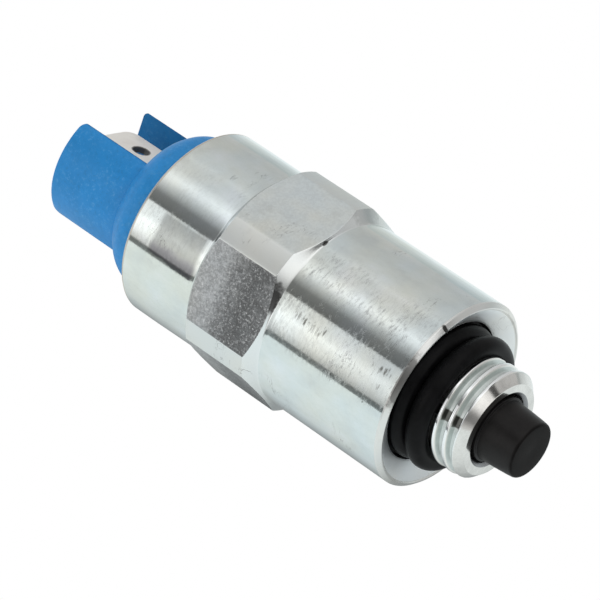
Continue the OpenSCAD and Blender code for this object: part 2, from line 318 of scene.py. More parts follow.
    def spot(self, x, roll, half_x, half_roll, edge=0.35):
        """One inside an oval patch on the turned surface, at a station and a roll from upright, and zero outside."""
        far = self.away(x, roll, half_x, half_roll)
        far = self.math("ADD", far, self.math("MULTIPLY", self.math("SUBTRACT", self.noise(1500, 3), 0.5), 1.6))
        return self.ramp(far, (1.0 - edge, 1.0), (1.0, 0.0))

    def turn_lines(self, fine=9000.0, coarse=1500.0, wobble=0.0006):
        """Fine lines round the axis, as a lathe tool leaves them."""
        swing = self.math("MULTIPLY", self.noise(60, 2), wobble)
        at = self.math("ADD", self.x, swing)
        lines = self.vector(self.math("MULTIPLY", at, 1.0), self.math("MULTIPLY", self.angle, 0.00002), 0.0)
        a = self.noise(fine, 2, 0.6, lines)
        b = self.noise(coarse, 2, 0.6, lines)
        return self.math("ADD", self.math("MULTIPLY", a, 0.6), self.math("MULTIPLY", b, 0.4))

    def face_lines(self, fine=9000.0):
        """Rings on a face that is turned square to the axis."""
        lines = self.vector(self.radius, self.math("MULTIPLY", self.angle, 0.00002), 0.0)
        return self.noise(fine, 2, 0.6, lines)


def zinc(name, tone=(0.76, 0.78, 0.80), rough=0.12, aniso=0.5, lines=0.12, speckle=0.0, tint=0.35, dirt=0.2, face=False,
         along_x=None, handled=0.0, ragged=0.0, stains=(), marked=0.65, nicks_and_painted_reflection=(), painted_reflection_dim=1.0):
    """Bright zinc plate on turned or drawn steel."""
    p = Paint(name)
    patch = p.noise(300, 5, 0.6)
    blush = p.noise(120, 3, 0.5)
    cool = tuple(c * f for c, f in zip(tone, (0.93, 0.99, 1.04)))
    warm = tuple(c * f for c, f in zip(tone, (1.02, 1.0, 0.93)))
    base = p.mix(p.ramp(blush, (0.35, 0.0), (0.65, 1.0)), cool, warm)
    base = p.mix(tint, tone, base)
    # darker or lighter along the axis as the ramp gives; on the side flats this is painted shade
    if along_x:
        shade = p.node("ShaderNodeMapRange")
        p.link(p.x, shade.inputs["Value"])
        shade.inputs["From Min"].default_value = along_x[0] * MM
        shade.inputs["From Max"].default_value = along_x[1] * MM
        base = p.mix(1.0, base, p.ramp(shade.outputs["Result"], *along_x[2]), "MULTIPLY")
    if handled:
        cloud = p.noise(240, 5, 0.65, p.vector(p.math("MULTIPLY", p.x, 0.6), p.y, p.z))
        base = p.mix(1.0, base, p.ramp(cloud, (0.32, (0.90, 0.915, 0.90)), (0.50, (0.98, 1.0, 0.975)), (0.68, (1.05, 1.06, 1.07))), "MULTIPLY")
    stain = p.ramp(patch, (0.60, 0.0), (0.70, 1.0))
    base = p.mix(p.math("MULTIPLY", stain, dirt), base, tuple(c * 0.7 for c in tone))
    pits = p.ramp(p.cells(900), (0.0, 1.0), (0.05, 0.0))
    keep = p.ramp(p.noise(260, 2), (0.56, 0.0), (0.62, 1.0))
    pits = p.math("MULTIPLY", pits, keep)
    scratch_way = p.vector(p.math("MULTIPLY", p.x, 1.0), p.math("MULTIPLY", p.angle, 0.0035), 0.3)
    scratch = p.math("ABSOLUTE", p.math("SUBTRACT", p.noise(520, 3, 0.7, scratch_way, 1.5), 0.5))
    scratch = p.ramp(scratch, (0.0, 1.0), (0.012, 0.0))
    where = p.ramp(p.noise(170, 2), (0.60, 0.0), (0.66, 1.0))
    marks = p.math("MAXIMUM", p.math("MULTIPLY", scratch, where), pits)
    base = p.mix(p.math("MULTIPLY", marks, marked), base, (0.15, 0.14, 0.13))
    grain = p.face_lines() if face else p.turn_lines()
    if speckle:
        spot = p.noise(2600, 3, 0.75)
        coarse = p.noise(900, 3, 0.6)
        fleck = p.ramp(p.math("ADD", p.math("MULTIPLY", spot, 0.65), p.math("MULTIPLY", coarse, 0.35)), (0.43, 0.0), (0.56, 1.0))
        if along_x:
            fleck = p.math("MULTIPLY", fleck, p.ramp(shade.outputs["Result"], (0.0, 0.45), (0.30, 0.55), (0.55, 1.0)))
        base = p.mix(p.math("MULTIPLY", fleck, speckle), base, tuple(c * 0.15 for c in tone))
        # painted highlights: small bright glints
        glint = p.ramp(p.noise(3300, 5, 0.85), (0.53, 0.0), (0.64, 0.8))
        base = p.mix(p.math("MULTIPLY", glint, speckle * 0.85), base, tone)
        grain = p.math("ADD", p.math("MULTIPLY", grain, 0.3), fleck)
    if painted_reflection_dim < 1:
        # painted shade: on the rear part ahead of the rolled rim the colour is darkened where the bright window
        # reflects
        low = p.ramp(p.math("DIVIDE", p.x, -50 * MM), (0.628, 0.0), (0.640, 1.0), (0.768, 1.0), (0.780, 0.0))
        roll = p.math("DIVIDE", p.math("SUBTRACT", p.angle, math.radians(90)), math.radians(100))
        pane = p.ramp(roll, (0.40, 0.0), (0.42, 1.0), (0.64, 1.0), (0.66, 0.0))
        base = p.mix(p.math("MULTIPLY", low, pane), base, p.mix(1.0, base, (painted_reflection_dim,) * 3, "MULTIPLY"))
        # painted shade: a darker band along the edge of the reflected window
        edge = p.ramp(p.math("ADD", roll, p.math("MULTIPLY", p.math("SUBTRACT", p.noise(500, 3), 0.5), 0.06)), (0.56, 0.0), (0.61, 1.0), (0.65, 1.0), (0.66, 0.0))
        base = p.mix(p.math("MULTIPLY", low, edge), base, (0.34, 0.34, 0.35))
    if handled:
        # the upper near side is handled, dulled and stained
        near = p.math("COSINE", p.math("SUBTRACT", p.angle, math.radians(90 + 36)))
        near = p.ramp(near, (0.82, 0.0), (0.90, 1.0))
        near = p.math("MULTIPLY", near, p.ramp(p.math("DIVIDE", p.x, -50 * MM), (0.44, 1.0), (0.60, 0.3)))
        wear = p.noise(2600, 5, 0.7, p.vector(p.x, p.math("MULTIPLY", p.angle, 0.0045), 0.0))
        wear = p.ramp(wear, (0.46, 0.0), (0.66, 1.0))
        patchy = p.ramp(p.noise(330, 3), (0.38, 0.25), (0.58, 1.0))
        wear = p.math("MULTIPLY", p.math("MULTIPLY", wear, patchy), near)
        base = p.mix(p.math("MULTIPLY", wear, handled), base, (0.28, 0.28, 0.29))
    for x, roll, half_x, half_roll, depth in stains:
        thick = p.math("MULTIPLY", p.away(x, roll, half_x, half_roll), -0.14)
        streaks = p.vector(p.x, p.math("MULTIPLY", p.angle, 0.0036), p.math("MULTIPLY", p.x, 0.5))
        thick = p.math("ADD", p.math("ADD", thick, 0.12), p.noise(2300, 3, 0.65, streaks))
        inside = p.ramp(thick, (0.57, 0.0), (0.72, 1.0))
        base = p.mix(p.math("MULTIPLY", inside, depth), base, (0.11, 0.105, 0.09))
    # dark nicks; the wide patch on the bevel is a painted dark reflection
    for x, roll, half_x, half_roll, depth in nicks_and_painted_reflection:
        base = p.mix(p.math("MULTIPLY", p.spot(x, roll, half_x, half_roll, 0.6), depth), base, (0.03, 0.027, 0.025))
    p.set("Base Color", base)
    p.set("Metallic", 1.0)
    cloudy = p.math("ADD", p.math("MULTIPLY", p.ramp(patch, (0.3, 0.0), (0.7, 1.0)), 0.05), rough)
    if handled:
        cloudy = p.math("ADD", cloudy, p.math("MULTIPLY", wear, 0.42))
    p.set("Roughness", cloudy)
    p.set("Anisotropic", aniso)
    p.set("Anisotropic Rotation", 0.25)
    tangent = p.node("ShaderNodeTangent", direction_type="RADIAL", axis="X")
    p.link(tangent.outputs[0], p.shader.inputs["Tangent"])
    normal = p.bump(grain, lines, 0.00002)
    if ragged:
        quick = p.noise(7500, 2, 0.5, p.vector(p.x, p.math("MULTIPLY", p.angle, 0.0012), 0.0))
        slow = p.noise(1100, 3, 0.6, p.vector(p.x, p.math("MULTIPLY", p.angle, 0.009), 0.5))
        sway = p.math("ADD", p.math("MULTIPLY", quick, 0.75), p.math("MULTIPLY", slow, 0.25))
        sway = p.math("MULTIPLY", p.math("SUBTRACT", sway, 0.5), ragged)
        rough_patch = p.ramp(p.noise(420, 3), (0.40, 0.25), (0.62, 1.0))
        normal = p.bump(grain, lines, 0.00002, p.tilt(p.math("MULTIPLY", sway, rough_patch)))
    p.set("Normal", normal)
    return p.mat


def threaded(name, bright, flank, root):
    """Plated thread: the crest is polished by handling, the flanks and the root stay dull."""
    p = Paint(name)
    turn = p.math("DIVIDE", p.math("SUBTRACT", p.angle, math.radians(CREST_ROLL)), 2 * math.pi)
    along = p.math("DIVIDE", p.math("SUBTRACT", p.x, CREST_X * MM), PITCH * MM)
    phase = p.math("FRACT", p.math("ADD", p.math("SUBTRACT", along, turn), 20.5))
    # from 0 to 1 over one pitch, with the crest in the middle
    cloud = p.ramp(p.noise(900, 4, 0.6), (0.3, 0.92), (0.7, 1.06))
    rough_root = p.mix(1.0, root, cloud, "MULTIPLY")
    # painted shade: the roots are darkened over a narrow band of roll on the upper near side
    painted_root_shade = p.math("ABSOLUTE", p.math("SUBTRACT", p.angle, math.radians(145.5)))
    painted_root_shade = p.ramp(p.math("DIVIDE", painted_root_shade, 0.25), (0.37, 1.0), (0.46, 0.0))
    rough_root = p.mix(p.math("MULTIPLY", painted_root_shade, 0.92), rough_root, (0.10, 0.10, 0.09))
    lower = p.ramp(phase, (0.36, 1.0), (0.40, 0.0), (0.67, 0.0), (0.71, 1.0))
    crest = p.ramp(phase, (0.36, 0.0), (0.38, 1.0), (0.60, 1.0), (0.63, 0.0))
    ending = p.ramp(p.math("DIVIDE", p.x, 10 * MM), (0.655, 0.0), (0.668, 1.0))
    base = p.mix(lower, flank, rough_root)
    base = p.mix(crest, base, bright)
    base = p.mix(ending, base, p.mix(1.0, tuple(c * 0.84 for c in flank), p.ramp(p.noise(700, 5, 0.7), (0.3, 0.86), (0.7, 1.05)), "MULTIPLY"))
    p.set("Base Color", base)
    p.set("Metallic", 1.0)
    dull = p.mix(crest, p.mix(lower, (0.3,) * 3, (0.36,) * 3), (0.05,) * 3)
    p.set("Roughness", p.mix(ending, dull, (0.13,) * 3))
    p.set("Normal", p.bump(p.turn_lines(), 0.03, 0.00002))
    return p.mat


def rubber(name, tone=(0.0036, 0.0035, 0.0038), rough=0.36, shine=0.09, end_shine=None):
    p = Paint(name)
    cloud = p.noise(700, 4, 0.6)
    base = p.mix(p.ramp(cloud, (0.4, 0.0), (0.75, 1.0)), tone, tuple(c * 2.2 for c in tone))
    dust = p.ramp(p.cells(2600), (0.0, 1.0), (0.05, 0.0))
    keep = p.ramp(p.noise(900, 2), (0.6, 0.0), (0.66, 1.0))
    base = p.mix(p.math("MULTIPLY", p.math("MULTIPLY", dust, keep), 0.6), base, (0.32, 0.31, 0.29))
    p.set("Base Color", base)
    p.set("Roughness", p.math("ADD", p.math("MULTIPLY", cloud, 0.2), rough - 0.1))
    if end_shine:
        shine = p.ramp(p.math("DIVIDE", p.x, 20 * MM), (0.610, shine), (0.622, end_shine))
    p.set("Specular IOR Level", shine)
    p.set("Normal", p.bump(p.noise(5000, 3, 0.6), 0.25, 0.00002))
    return p.mat


def plastic(name, tone, rough=0.38, scuff=0.5, pale=None, inner=0.0):
    """Moulded plastic with handling marks."""
    p = Paint(name)
    cloud = p.noise(260, 5, 0.65)
    pale = pale or tuple(min(1, c * 1.5 + 0.05) for c in tone)
    base = p.mix(p.ramp(cloud, (0.35, 0.0), (0.8, 1.0)), tone, tuple(c * 1.18 for c in tone))
    rub = p.noise(900, 6, 0.75, distort=0.8)
    marks = p.math("MULTIPLY", p.ramp(rub, (0.56, 0.0), (0.70, 1.0)), scuff)
    base = p.mix(marks, base, pale)
    speck = p.noise(1700, 6, 0.8)
    base = p.mix(p.math("MULTIPLY", p.ramp(speck, (0.36, 1.0), (0.46, 0.0)), scuff), base, tuple(c * 0.62 for c in tone))
    speck = p.ramp(speck, (0.54, 0.0), (0.64, 1.0))
    base = p.mix(p.math("MULTIPLY", speck, p.math("MULTIPLY", p.ramp(p.noise(180, 2), (0.35, 0.3), (0.6, 1.0)), scuff * 1.4)), base, tuple(c * 1.25 for c in pale))
    if inner:
        # the slot's inner faces get less light
        level = p.math("ADD", p.math("MULTIPLY", p.y, math.cos(math.radians(SLOT_ROLL))), p.math("MULTIPLY", p.z, math.sin(math.radians(SLOT_ROLL))))
        inside = p.ramp(p.math("DIVIDE", p.math("ABSOLUTE", level), 0.01), (0.573, 1.0), (0.583, 0.0))
        inside = p.math("MULTIPLY", inside, p.math("LESS_THAN", p.x, (COLLAR_REAR + 0.3) * MM))
        base = p.mix(p.math("MULTIPLY", inside, inner), base, (0.0, 0.02, 0.06))
        p.set("Specular IOR Level", p.ramp(inside, (0.0, 0.5), (1.0, 0.22)))
    p.set("Base Color", base)
    p.set("Roughness", p.math("ADD", p.math("MULTIPLY", rub, 0.2), rough - 0.08))
    fine = p.noise(4200, 3, 0.6)
    p.set("Normal", p.bump(p.math("ADD", fine, p.math("MULTIPLY", rub, 0.6)), 0.3, 0.00002))
    return p.mat


def metal(name, tone, rough=0.3, lines=0.3, turned=True, stain=0.3, deep=None, metallic=1.0, hole=False):
    """Bare, brassy or coppery metal, turned or drawn."""
    p = Paint(name)
    cloud = p.noise(600, 4, 0.6)
    deep = deep or tuple(c * 0.6 for c in tone)
    base = p.mix(p.math("MULTIPLY", p.ramp(cloud, (0.45, 0.0), (0.75, 1.0)), stain), tone, deep)
    if hole:
        # the punched hole has a dark burr round it, and its inner wall is painted dark as shade
        c, t = math.cos(math.radians(SLOT_ROLL)), math.sin(math.radians(SLOT_ROLL))
        across = p.math("ADD", p.math("MULTIPLY", p.y, c), p.math("MULTIPLY", p.z, t))
        along_it = p.math("SUBTRACT", p.x, HOLE_X * MM)
        away = p.math("SQRT", p.math("ADD", p.math("MULTIPLY", across, across), p.math("MULTIPLY", along_it, along_it)))
        away = p.math("ADD", away, p.math("MULTIPLY", p.math("SUBTRACT", p.noise(2500, 2), 0.5), 0.0002))
        burr_and_hole_shade = p.ramp(p.math("MULTIPLY", away, 400.0), (0.46, 1.0), (0.52, 0.0))
        base = p.mix(p.math("MULTIPLY", burr_and_hole_shade, 0.9), base, (0.05, 0.045, 0.04))
    p.set("Base Color", base)
    p.set("Metallic", metallic)
    p.set("Roughness", p.math("ADD", p.math("MULTIPLY", cloud, 0.15), rough - 0.05))
    p.set("Normal", p.bump(p.turn_lines() if turned else p.noise(3000, 3), lines, 0.00002))
    return p.mat


def wound(name, tone=(0.62, 0.25, 0.08)):
    """Enamelled wire laid in close turns."""
    p = Paint(name)
    wave = p.node("ShaderNodeTexWave", wave_type="BANDS", bands_direction="X", wave_profile="SIN")
    wave.inputs["Scale"].default_value = 700
    wave.inputs["Distortion"].default_value = 0.3
    p.link(p.place, wave.inputs["Vector"])
    cloud = p.noise(300, 3)
    p.set("Base Color", p.mix(p.ramp(cloud, (0.3, 0.0), (0.8, 1.0)), tone, tuple(c * 0.7 for c in tone)))
    p.set("Metallic", 0.9)
    p.set("Roughness", 0.28)
    p.set("Coat Weight", 0.5)
    p.set("Normal", p.bump(wave.outputs["Fac"], 0.6, 0.0001))
    return p.mat


def film(name, tone=(0.80, 0.66, 0.30)):
    """Thin wrap over the winding."""
    p = Paint(name)
    wrap = p.node("ShaderNodeTexWave", wave_type="BANDS", bands_direction="DIAGONAL", wave_profile="SAW")
    wrap.inputs["Scale"].default_value = 60
    p.link(p.place, wrap.inputs["Vector"])
    p.set("Base Color", p.mix(p.ramp(wrap.outputs["Fac"], (0.0, 0.0), (0.1, 1.0)), tuple(c * 0.8 for c in tone), tone))
    p.set("Roughness", 0.3)
    p.set("Coat Weight", 0.3)
    p.set("Normal", p.bump(wrap.outputs["Fac"], 0.4, 0.00005))
    return p.mat


def fibre(name, tone=(0.26, 0.10, 0.04)):
    """Pressed fibre sheet."""
    p = Paint(name)
    hair = p.noise(2200, 5, 0.75, distort=2.0)
    p.set("Base Color", p.mix(p.ramp(hair, (0.35, 0.0), (0.7, 1.0)), tone, tuple(c * 1.7 for c in tone)))
    p.set("Roughness", 0.75)
    p.set("Normal", p.bump(hair, 0.4, 0.00005))
    return p.mat


MATS = {
    "cylinder": zinc("zinc_turned", tone=(0.77, 0.79, 0.785), rough=0.05, aniso=0.75, lines=0.10, tint=0.7, handled=0.5, ragged=0.035,
                     stains=((-13.5, 48.0, 2.2, 4.0, 0.75), (-16.0, 47.0, 1.2, 3.0, 0.6), (-2.4, 46.5, 2.4, 3.4, 0.8),
                             (-2.6, 55.5, 1.3, 2.6, 0.5), (-34.8, 2.5, 0.7, 3.0, 0.45),
                             (-3.6, 67.0, 0.35, 1.2, 1.0)), painted_reflection_dim=0.56),
    "top_flat": zinc("zinc_top_flat", tone=(0.785, 0.805, 0.785), rough=0.36, aniso=0.1, lines=0.15, speckle=0.10, dirt=0.3, tint=0.8),
    # painted shade: the side flats are darker than the top flat and darker still towards the front; the flecks are
    # marks, the glints painted highlights
    "flat": zinc("zinc_flat_painted_shade", tone=(0.86, 0.87, 0.87), rough=0.34, aniso=0.1, lines=0.8, speckle=0.9, dirt=0.4,
                 along_x=(-29.9, -20.6, ((0.0, 0.58), (0.22, 0.58), (0.42, 0.36), (0.72, 0.16), (1.0, 0.24)))),
    "strip": zinc("zinc_corner", tone=(0.77, 0.785, 0.765), rough=0.42, aniso=0.1, lines=0.15, dirt=0.25),
    "cone": zinc("zinc_cone", tone=(0.82, 0.84, 0.83), rough=0.16, aniso=0.2, lines=0.15,
                 along_x=(-31.2, -19.3, ((0.0, 0.9), (0.04, 0.55), (0.07, 0.6), (0.10, 1.0), (1.0, 1.0))),
                 nicks_and_painted_reflection=((-19.45, 5.5, 0.2, 2.4, 0.9), (-20.4, 48.0, 1.7, 11.0, 0.85), (-20.3, -30.0, 1.6, 13.0, 0.22))),
    "rim": zinc("zinc_rolled_rim", tone=(0.66, 0.61, 0.54), rough=0.3, aniso=0.3, lines=0.2, dirt=0.5),
    "dish": zinc("zinc_dish", tone=(0.97, 0.98, 0.98), rough=0.42, aniso=0.2, lines=0.15, face=True, marked=0.2),
    # painted shade: the deep part of the recess is near black, as if in shade
    "recess": zinc("zinc_recess_painted_shade", tone=(0.07, 0.07, 0.07), rough=0.6, aniso=0.1, lines=0.2),
    # the bevel's small dark patch is a nick, its wide one at roll 46 a painted dark reflection
    "bevel": zinc("zinc_bevel", tone=(0.80, 0.79, 0.76), rough=0.26, aniso=0.2, lines=0.15, dirt=0.3, face=True,
                  nicks_and_painted_reflection=((-0.25, 7.5, 0.55, 1.7, 0.95), (-0.25, 46.0, 0.8, 19.0, 0.68))),
    "thread": threaded("zinc_thread", bright=(0.92, 0.94, 0.94), flank=(0.94, 0.925, 0.885), root=(0.69, 0.735, 0.715)),
    "bore": zinc("zinc_bore", tone=(0.45, 0.45, 0.46), rough=0.4, aniso=0.3, lines=0.3),
    "rubber": rubber("rubber_ring"),
    "tip": rubber("rubber_tip_skin", tone=(0.0062, 0.0054, 0.0052), rough=0.42, shine=0.23, end_shine=0.035),
    "blue": plastic("plastic_blue", (0.002, 0.245, 0.63), rough=0.45, scuff=0.35, pale=(0.09, 0.34, 0.62), inner=0.45),
    "black": plastic("plastic_black", (0.02, 0.02, 0.022), rough=0.45, scuff=0.2),
    "red": plastic("plastic_red", (0.42, 0.02, 0.015), rough=0.4, scuff=0.1),
    "tin": metal("tinned_blade", (0.99, 0.95, 0.89), rough=0.4, lines=0.2, turned=False, stain=0.35, deep=(0.72, 0.64, 0.58), metallic=0.3, hole=True),
    "core": metal("core_bare_steel", (0.56, 0.57, 0.58), rough=0.32),
    "ground": metal("plunger_ground_steel", (0.66, 0.67, 0.68), rough=0.2, lines=0.2),
    "brass": metal("brass_drawn", (0.78, 0.56, 0.20), rough=0.25, deep=(0.46, 0.30, 0.10)),
    "copper": metal("copper_lead", (0.72, 0.33, 0.16), rough=0.25, turned=False, deep=(0.36, 0.15, 0.07)),
    "spring": metal("spring_drawn_wire", (0.42, 0.42, 0.44), rough=0.25, turned=False),
    "wound": wound("copper_wound"),
    "film": film("wrap_film_skin"),
    "fibre": fibre("fibre_washer_skin"),
}


# ---------------------------------------------------------------- housing behind the nose
def hex_limit(angle):
    """Distance from the axis to the hexagon, in a direction. A flat faces straight up."""
    a = (angle - math.pi / 2 + math.pi / 6) % (math.pi / 3) - math.pi / 6
    return HEX_APOTHEM / np.cos(a)


def soft_min(a, b, k):
    """The smaller of two heights, with the edge between them rounded."""
    h = np.maximum(k - np.abs(a - b), 0) / k
    return np.minimum(a, b) - h * h * k / 4


def build_housing():
    cols = 624
    angles = np.linspace(0, 2 * math.pi, cols, endpoint=False)
    rows = []  # station, radius, kind

    def add(points, kind):
        rows.extend((x, r, kind) for x, r in points)

    # rolled rear rim, from the lip's inner wall outwards
    add(fillet([(-41.6, 10.75), (BODY_REAR, 10.75, 0.12), (BODY_REAR, 12.05, 0.22), (-42.25, 12.36, 0.2), (-42.05, SWELL_R)], 5), "rim")
    add([(-41.9, SWELL_R), (-41.5, SWELL_R), (-40.2, SWELL_R), (SWELL_X - 0.25, SWELL_R), (SWELL_X + 0.1, SWELL_R - 0.003)], "cylinder")
    add([(x, SWELL_R + (BODY_R - SWELL_R) * (x - SWELL_X) / (CONE_REAR - SWELL_X)) for x in along(SWELL_X + 0.5, CONE_REAR - 0.12, 0.8)], "cylinder")
    slope = (CORNER_R - BODY_R) / (CONE_FRONT - HEX_FRONT)

    def cone(reach, soft):
        """Radius on a hexagon chamfer, this far up from its foot, with a rounded foot."""
        rise = reach * slope
        return min(CORNER_R, BODY_R + (rise + math.sqrt(rise * rise + soft * soft)) / 2)

    for x in along(CONE_REAR - 0.1, HEX_REAR + 0.3, 0.07):
        rows.append((x, cone(x - CONE_REAR, 0.05), "hex"))
    for x in along(HEX_REAR + 0.3, HEX_FRONT - 0.3, 1.1):
        rows.append((x, CORNER_R, "hex"))
    for x in along(HEX_FRONT - 0.3, CONE_FRONT + 0.25, 0.06):
        rows.append((x, cone(CONE_FRONT - x, 0.12), "hex"))
    add([(CONE_FRONT + 0.3, BODY_R + 0.01), (CONE_FRONT + 0.45, BODY_R)], "cylinder")
    add([(x, BODY_R) for x in along(CONE_FRONT + 0.6, -0.75, 0.9)], "cylinder")
    add(fillet([(-0.7, BODY_R), (-0.5, BODY_R, 0.12), (0, 11.9, 0.12), (0, LIP_R, 0.08), (-0.12, LIP_R - 0.1)], 4), "bevel")
    dish = [(-0.16, LIP_R - 0.2), (-0.6, 10.85), (-1.0, 10.12), (-1.3, 9.58), (-DISH_CONE, DISH_FLOOR_R + 0.04)]
    add(dish, "dish")
    # painted shade: the deep part of the recess is near black round the rear ring
    add(fillet([(-DISH_CONE - 0.04, DISH_FLOOR_R), (-DISH_DEPTH, DISH_FLOOR_R, 0.3), (-DISH_DEPTH, 6.3)], 6), "recess")
    # inner walls, closed on themselves
    inner = [(-DISH_DEPTH + 0.02, 5.67), (-8, 5.67), (-8, 10.6), (-41.6, 10.6)]
    add(inner, "bore")

    verts = np.zeros((len(rows), cols, 3))
    limit = hex_limit(angles)
    for i, (x, r, kind) in enumerate(rows):
        radius = np.full(cols, r)
        if kind == "hex":
            radius = soft_min(radius, limit, 0.10)
            radius = np.maximum(radius, min(r, BODY_R))
        verts[i, :, 0] = x
        verts[i, :, 1] = radius * np.cos(angles)
        verts[i, :, 2] = radius * np.sin(angles)
    faces = grid_faces(len(rows), cols, wrap_rows=True)
    slots = ["cylinder", "top_flat", "flat", "strip", "cone", "rim", "dish", "recess", "bevel", "bore"]
    which = {name: i for i, name in enumerate(slots)}
    middle = angles + math.pi / cols
    mid_limit = hex_limit(middle)
    up = np.abs((middle - math.pi / 2 + math.pi) % (2 * math.pi) - math.pi)
    indices = np.zeros((len(rows), cols), np.int32)
    for i, (x, r, kind) in enumerate(rows):
        after = rows[(i + 1) % len(rows)]
        if kind == "hex":
            level = (r + after[1]) / 2
            on_flat = mid_limit < level - 0.02
            top = up < math.radians(30)
            sloped = abs(after[1] - r) > 0.001
            indices[i] = np.where(on_flat, np.where(top, which["top_flat"], which["flat"]), which["cone"] if sloped else which["strip"])
            if max(r, after[1]) <= BODY_R + 0.03:
                indices[i] = which["cylinder"]
        else:
            indices[i] = which[kind]
    return add_object(
        "housing_shell", verts.reshape(-1, 3), faces, "body", ["housing"],
        [MATS[s] for s in slots], indices.reshape(-1), sharp=32)


def build_nose():
    cols = 360
    angles = np.linspace(0, 2 * math.pi, cols, endpoint=False)
    # half a turn of the thread's section: crest, flank and root, away from the middle of the crest
    profile = np.array(fillet([(0, THREAD_R), (0.20, THREAD_R, 0.09), (0.573, ROOT_R, 0.2), (PITCH / 2, ROOT_R)], 8))
    outer = []
    stations = [(-DISH_DEPTH, 6.35), (-DISH_DEPTH, NECK_R)] + [(x, NECK_R) for x in (-1.5, 0.5, 2.6, 2.9)]
    for x, r in stations:
        outer.append((x, r, False))
    for x in np.arange(2.95, NOSE_LEN - 0.001, 0.035):
        outer.append((x, None, True))
    rows = []
    turn = (angles - math.radians(CREST_ROLL)) / (2 * math.pi)
    for x, r, threaded in outer:
        if not threaded:
            rows.append((np.full(cols, x), np.full(cols, r)))
            continue
        phase = ((x - CREST_X) / PITCH - turn + 0.5) % 1.0 - 0.5
        radius = np.interp(np.abs(phase) * PITCH, profile[:, 0], profile[:, 1])
        # the groove runs out under the nose, so the last land goes up to the end chamfer
        side = (turn + 0.5) % 1.0 - 0.5
        past = (x - CREST_X) / PITCH - side - 2
        land = np.clip((0.5 - np.abs(side)) / 0.10, 0, 1)
        radius = np.where(past > 0, radius + (THREAD_R - radius) * land * land * (3 - 2 * land), radius)
        start = NECK_R + np.clip((x - 2.93) * 4.0, 0, 2)
        end = NOSE_LEN - 0.02 - x + 6.10
        radius = np.minimum(np.minimum(radius, start), end)
        rows.append((np.full(cols, x), radius))
    for x, r in fillet([(NOSE_LEN - 0.01, 6.1), (NOSE_LEN, 6.04, 0.04), (NOSE_LEN, MOUTH_R, 0.06), (NOSE_LEN - 0.4, BORE_R, 0.06), (-3.65, BORE_R, 0.1), (-3.65, 5.67), (-DISH_DEPTH - 0.3, 5.67), (-DISH_DEPTH - 0.3, 6.35)], 4):
        rows.append((np.full(cols, x), np.full(cols, r)))
    verts = np.zeros((len(rows), cols, 3))
    for i, (x, r) in enumerate(rows):
        verts[i, :, 0] = x
        verts[i, :, 1] = r * np.cos(angles)
        verts[i, :, 2] = r * np.sin(angles)
    faces = grid_faces(len(rows), cols, wrap_rows=True)
    indices = np.zeros((len(rows), cols), np.int32)
    indices[len(outer) + 8:] = 1
    return add_object(
        "housing_nose", verts.reshape(-1, 3), faces, "body", ["housing"],
        [MATS["thread"], MATS["bore"]], indices.reshape(-1), sharp=38)


# ---------------------------------------------------------------- rubber pieces
def build_ring(name, station):
    around = 160
    section = 40
    verts = []
    for i in range(section):
        b = 2 * math.pi * i / section
        flash = 1.0 + 0.010 * math.exp(-((math.sin(b) / 0.10) ** 2))
        r = RING_MEAN_R + RING_R * flash * math.cos(b) * 0.995
        x = station + RING_R * 0.995 * math.sin(b)
        for j in range(around):
            a = 2 * math.pi * j / around
            verts.append((x, r * math.cos(a), r * math.sin(a)))
    return add_object(name + "_cord", verts, grid_faces(section, around, wrap_rows=True), "body", [name], [MATS["rubber"]])


def build_tip():
    outline = fillet([
        (9.52, 0.0), (9.52, 2.02), (3.42, 2.02), (3.42, 3.9, 0.1), (6.5, 3.9, 0.15), (6.5, 4.3, 0.12), (7.6, 4.3, 0.2),
        (7.6, 4.02, 0.15), (9.6, 3.9), (11.4, 3.76), (12.5, 3.64, 0.42), (12.5, 1.6), (12.46, 0.0)], 6)
    verts, faces = lathe(outline, 160)
    return add_object("rubber_tip_moulding", verts, faces, "plunger", ["rubber_tip"], [MATS["tip"]], sharp=50)


# ---------------------------------------------------------------- connector
def wall_section(top, arc_steps=28, side_steps=3, chord_steps=12):
    """Outline of one guard wall, from the slot's side round the outside and back."""
    pts = []
    edge = math.asin(top / TUBE_R)
    for t in np.linspace(-edge, edge, arc_steps + 1):
        pts.append((TUBE_R * math.cos(t), TUBE_R * math.sin(t)))
    outer = TUBE_R * math.cos(edge)
    for t in np.linspace(0, 1, side_steps + 1)[1:]:
        pts.append((outer + (WALL_IN - outer) * t, top))
    for t in np.linspace(0, 1, chord_steps + 1)[1:]:
        pts.append((WALL_IN, top - 2 * top * t))
    for t in np.linspace(0, 1, side_steps + 1)[1:-1]:
        pts.append((WALL_IN + (outer - WALL_IN) * t, -top))
    return pts


def build_wall(name, side):
    full = math.sqrt(TUBE_R ** 2 - WALL_IN ** 2) - 0.02
    round_r = 0.75
    stations = [CONNECTOR_REAR + round_r * (1 - math.cos(t)) for t in np.linspace(0, math.pi / 2, 10)]
    stations += [CONNECTOR_REAR + round_r + i * 1.2 for i in range(1, 10)]
    verts = []
    count = 0
    for x in stations:
        into = max(0.0, round_r - (x - CONNECTOR_REAR))
        top = full - (round_r - math.sqrt(max(0.0, round_r ** 2 - into ** 2)))
        section = wall_section(top)
        count = len(section)
        verts.extend((x, side * u, v) for u, v in section)
    faces = []
    for i in range(len(stations) - 1):
        for j in range(count):
            k = (j + 1) % count
            faces.append((i * count + j, i * count + k, (i + 1) * count + k, (i + 1) * count + j))
    faces.append(tuple(range(count - 1, -1, -1)))
    last = (len(stations) - 1) * count
    faces.append(tuple(last + j for j in range(count)))
    if side < 0:
        faces = [tuple(reversed(f)) for f in faces]
    obj = add_object(name, rolled(verts, SLOT_ROLL), faces, "body", ["connector_body"], [MATS["blue"]], sharp=40)
    return bevelled(obj, 0.28, 4, 40)


